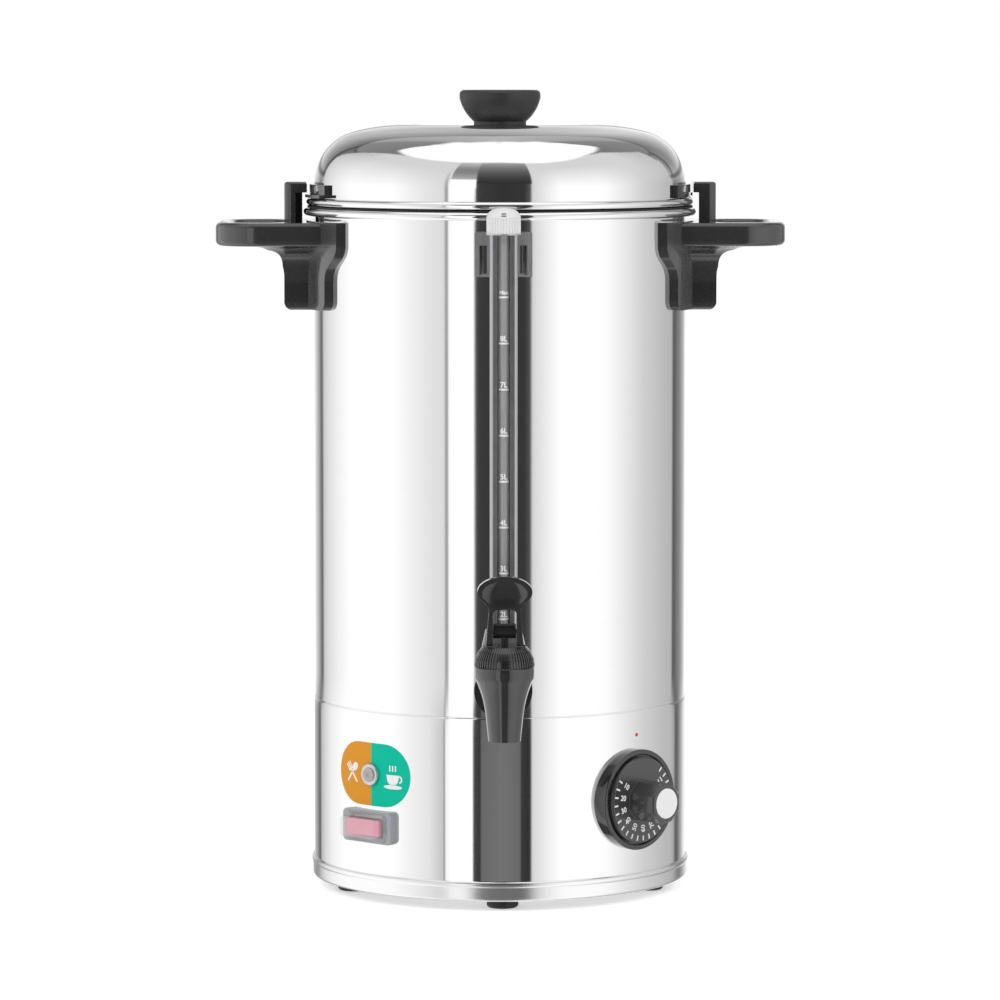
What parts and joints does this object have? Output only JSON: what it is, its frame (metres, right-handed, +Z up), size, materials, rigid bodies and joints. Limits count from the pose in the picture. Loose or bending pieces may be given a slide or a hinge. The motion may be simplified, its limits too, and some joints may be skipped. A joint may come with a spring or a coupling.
{
  "type": "hot water urn",
  "caption": "Polished steel hot water urn with a domed locking lid, side handles, sight gauge, lever tap, thermostat dial, lamp and rocker switch.",
  "frame": {"origin": "on the table, on the vessel's axis, at the centre of the ring of feet", "axes": "+Z up along the vessel's axis, -Y towards the tap, +X towards the right handle"},
  "size_m": [0.336, 0.2908, 0.4738],
  "materials": {
    "polished_steel": "mirror polished",
    "plain_steel": "zinc plated",
    "spring_steel": "drawn wire",
    "element_sheath": "oxidised",
    "aluminium": "cast",
    "copper": "drawn",
    "contact_brass": "nickel plated",
    "black_moulding": "moulded, glossy",
    "dark_moulding": "moulded, satin",
    "grey_moulding": "moulded, satin",
    "white_moulding": "moulded",
    "pink_moulding": "moulded, translucent",
    "clear_cap": "frosted clear",
    "clear_boot": "clear silicone",
    "clear_lens": "clear, ridged",
    "silicone": "black silicone",
    "white_silicone": "white silicone",
    "foot_rubber": "moulded",
    "gauge_glass": "clear tube"
  },
  "bodies": {
    "urn": {"tank": "polished_steel", "lower_housing": "polished_steel", "base_ring": "polished_steel", "bottom_plate": "plain_steel", "feet": "foot_rubber", "foot_screws": "plain_steel", "foot_nuts": "plain_steel", "tie_rod": "plain_steel", "tie_nut": "plain_steel", "heater_plate": "aluminium", "heating_element": "element_sheath", "boil_dry_cutout": "dark_moulding", "sensor_bulb": "copper", "capillary_tube": "copper", "handle_left": "black_moulding", "handle_right": "black_moulding", "handle_screws": "plain_steel", "handle_washers": "white_silicone", "tap_body": "black_moulding", "tap_bonnet": "black_moulding", "tap_spring": "spring_steel", "tap_washers": "silicone", "tap_nut": "plain_steel", "gauge_tube": "gauge_glass", "gauge_guard": "polished_steel", "gauge_bracket": "polished_steel", "gauge_cap": "clear_cap", "gauge_seals": "white_silicone", "gauge_screw": "plain_steel", "thermostat_body": "white_moulding", "thermostat_screws": "plain_steel", "dial_bezel": "black_moulding", "switch_body": "grey_moulding", "switch_boot": "clear_boot", "lamp_bezel": "polished_steel", "lamp_lens": "clear_lens", "lamp_body": "white_moulding", "inlet": "dark_moulding", "inlet_pins": "contact_brass", "inlet_screws": "plain_steel", "terminal_block": "white_moulding"},
    "lid_ring": {"lid_seal": "silicone"},
    "lid": {"lid_shell": "polished_steel", "lid_knob": "black_moulding", "lid_knob_screw": "plain_steel", "lid_lock_left": "black_moulding", "lid_lock_right": "black_moulding", "lid_lock_rivets": "plain_steel"},
    "tap_valve": {"tap_stem": "dark_moulding", "tap_seat_cup": "white_silicone"},
    "tap_handle": {"tap_lever": "black_moulding", "tap_lever_pin": "plain_steel"},
    "dial": {"dial_knob": "black_moulding", "dial_cap": "white_moulding", "thermostat_shaft": "plain_steel"},
    "rocker": {"switch_rocker": "pink_moulding"}
  },
  "joints": [
    {"name": "lid_lift", "type": "slide", "parent": "urn", "child": "lid_ring", "axis": [0, 0, 1], "range_m": [0, 0.12]},
    {"name": "lid_turn", "type": "hinge", "parent": "lid_ring", "child": "lid", "pos_m": [0, 0, 0.408], "axis": [0, 0, 1], "range_deg": [-16, 0]},
    {"name": "tap_stem_lift", "type": "slide", "parent": "urn", "child": "tap_valve", "axis": [0, 0, 1], "range_m": [0, 0.003], "deforming": ["tap_spring"]},
    {"name": "tap_lever_tilt", "type": "hinge", "parent": "tap_valve", "child": "tap_handle", "pos_m": [0, -0.157, 0.169], "axis": [1, 0, 0], "range_deg": [0, 30], "stiffness_Nm_per_rad": 0.0263, "springref_deg": -39.99},
    {"name": "dial_turn", "type": "hinge", "parent": "urn", "child": "dial", "pos_m": [0.07711, -0.07985, 0.0614], "axis": [-0.6947, 0.7193, 0], "range_deg": [0, 300]},
    {"name": "switch_rock", "type": "hinge", "parent": "urn", "child": "rocker", "pos_m": [-0.07641, -0.07913, 0.0458], "axis": [0, 0, -1], "range_deg": [0, 18]}
  ],
  "couplings": [
    {"joint": "tap_lever_tilt", "follows": "tap_stem_lift", "rad_per_m": 174.53}
  ]
}
